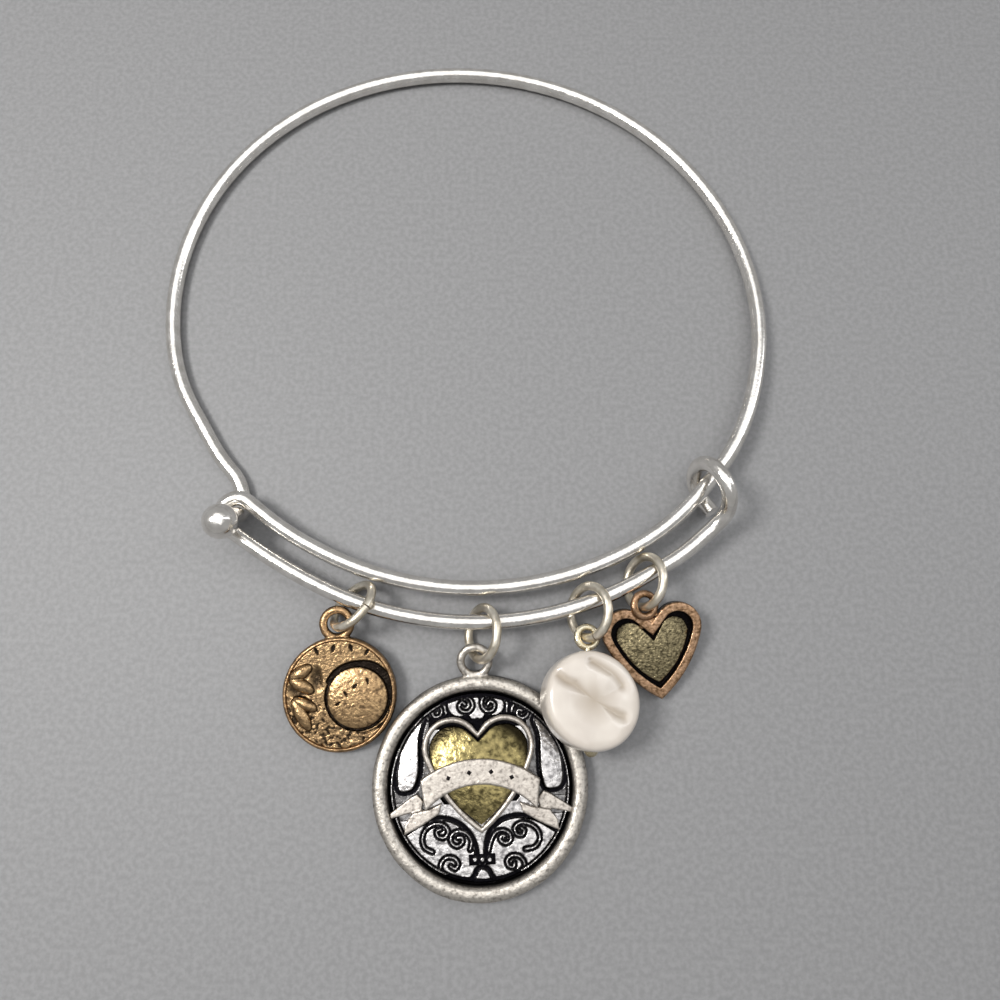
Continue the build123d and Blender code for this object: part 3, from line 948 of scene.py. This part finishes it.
def disc():
    """The small copper disc with its moon and two puffed hearts."""
    back = ((0, 0), (5.3, 0), (5.55, 0.1), (5.65, 0.5))
    rim = ((5.64, 0.95), (5.5, 1.25), (5.27, 1.32))
    sunk = ((5.1, 0.9), (2.5, 0.8), (0, 0.8))
    loop = ring(Vector((0, DISC_HANG, DISC_T / 2)), (0, 0, 1), *DISC_RING)
    body = cast([turned(back + rim + sunk), loop], "disc_charm_body", voxel=0.08)
    hammer(body, size=0.7, depth=0.02)
    settle(body, DISC_SEAT)
    edge_rub = by_height(DISC_SEAT, 0.55, 1.15)

    # Brown at the foot, warm tan along the rubbed edge, softly glossy
    wear(body, antiqued("antiqued brass edge", "#2a211b", "#7f654a", "#b3926c", 0.5, edge_rub, 0.34))
    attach(body, "root")
    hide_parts("disc_charm")
    face = disc_relief()
    settle(face, DISC_SEAT)

    # Tan gold on the raised places with clear highlights, nearly black in the hollows
    wear(face, antiqued("antiqued brass", "#1f1a16", "#7d654a", "#bb9c73", 0.4, by_mark, 0.3, 0.02))
    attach(face, "root")


# Heart charm


def heart_charm():
    """The small copper heart: frame, black channel, domed inner heart."""
    frame_bar = plate(heart(*CHARM_HEART), low=0, high=HEART_T, edge=0.2)
    cut(frame_bar, plate(heart(*CHANNEL_HEART), low=HEART_FLOOR, high=2, edge=0.02))
    neck = plate([(-1.0, 2.6), (0.2, 2.6), (0.1, 3.75), (-0.9, 3.75)], low=0.2, high=1.15, edge=0.2)
    loop_at = HEART_SEAT.inverted() @ Vector(HEART_LOOP)
    loop_normal = HEART_SEAT.to_3x3().inverted() @ Vector((0.27, -0.12, 1))
    loop = ring(loop_at, loop_normal, *HEART_RING)
    body = cast([frame_bar, neck, loop], "heart_charm_body", voxel=0.055, smoothing=3)
    hammer(body, size=0.6, depth=0.015)
    settle(body, HEART_SEAT)
    rub = by_height(HEART_SEAT, 0.75, 1.05)

    # Pinkish brown on the raised frame, black in the channel
    wear(body, antiqued("antiqued copper", "#0d0b0c", "#87694c", "#b9977a", 0.35, rub, 0.33))
    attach(body, "root")
    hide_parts("heart_charm")

    inner = plate(heart(*INNER_HEART), low=0.3, high=1.6, edge=0.1)
    dome(inner, y=0.2, top=1.28, segments=96, rings=64)
    inner = cast([inner], "heart_charm_inner", voxel=0.055, smoothing=8)
    hammer(inner, size=0.35, depth=0.02)
    settle(inner, HEART_SEAT)
    rub = by_height(HEART_SEAT, 0.68, 1.05)

    # Dull olive brown with a few lighter specks, darker than the frame round it
    wear(inner, antiqued("dark brass heart", "#15120e", "#5a523e", "#9c9070", 0.3, rub, 0.3, 0.03))
    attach(inner, "root")


# Pearl

# Creases across its face
CREASES = (
    (
        (-3.3, 2.3), (-2.47, 1.65), (-1.25, 1.38), (-0.6, 0.8), (-0.25, 0.11), (0.64, -0.59),
        (1.61, -1.05), (2.7, -1.45),
    ),
    ((-0.1, 3.6), (0.81, 3.1), (1.9, 2.4), (2.72, 1.4)),
)


def pearl():
    """The coin pearl: a flat bead grown a little uneven, creased across its face."""
    pin = (Vector(PEARL_EYE) - Vector(PEARL_AT)).normalized()
    leaning = Vector((PEARL_LEAN, 0, 1))
    up = (leaning - pin * leaning.dot(pin)).normalized()
    seat = seat_of(Vector(PEARL_AT), pin.cross(up), up)
    body = ball(segments=160, rings=80, radius=1, at=(0, 0, 0))
    body.name = "pearl_body"
    to_crease = distance_to([smooth_line(line) for line in CREASES])
    crease_shade = body.data.attributes.new("crease_shade", "FLOAT", "POINT")
    shaped = []
    crease_shade_values = []
    for x, y, z in [point.co.copy() for point in body.data.vertices]:
        wide = sqrt(max(0.0, 1 - z * z))
        oval = PEARL_R * (1 - PEARL_OVAL * cos(2 * atan2(y, x) - 1.2))
        reach = oval * sqrt(sqrt(1 - (1 - wide) ** 2)) / max(wide, 0.001)
        top = step(0.2, 0.75, z)
        near = to_crease(x * reach, y * reach)
        fold = 0.1 * lumps(x * reach, y * reach, 0, 2.2) - FOLD_DEPTH * exp(-((near / FOLD_WIDTH) ** 2))
        shaped += [x * reach, y * reach, z * PEARL_HALF_T + fold * top]
        # Painted shade in the creases, strongest on their middle lines and only on the top face
        crease_shade_values.append(CREASE_SHADE_DEPTH * exp(-((near / CREASE_SHADE_WIDTH) ** 2)) * top)
    body.data.vertices.foreach_set("co", shaped)
    crease_shade.data.foreach_set("value", crease_shade_values)
    body.data.update()
    settle(body, seat)
    wear(body, nacre())
    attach(body, "root")
    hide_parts("pearl_bead")


medallion()
disc()
heart_charm()
pearl()

# Bright silver wire, duller and slightly yellow jump rings, a pale gold pin
silver_wire = drawn_wire("silver plated drawn wire", "#f2efea", "#dedad4", 0.16)
ring_wire = drawn_wire("tarnished plated wire", "#efe8da", "#cfc5b2", 0.34)
gilt = drawn_wire("pale gilt wire", "#e2dac4", "#b9ad8e", 0.26)
for name in ("jump_ring_disc", "jump_ring_medallion", "jump_ring_pearl", "jump_ring_heart"):
    wear(nodes[name], ring_wire)
wear(nodes["bangle_wire"], silver_wire)
wear(nodes["head_pin"], gilt)
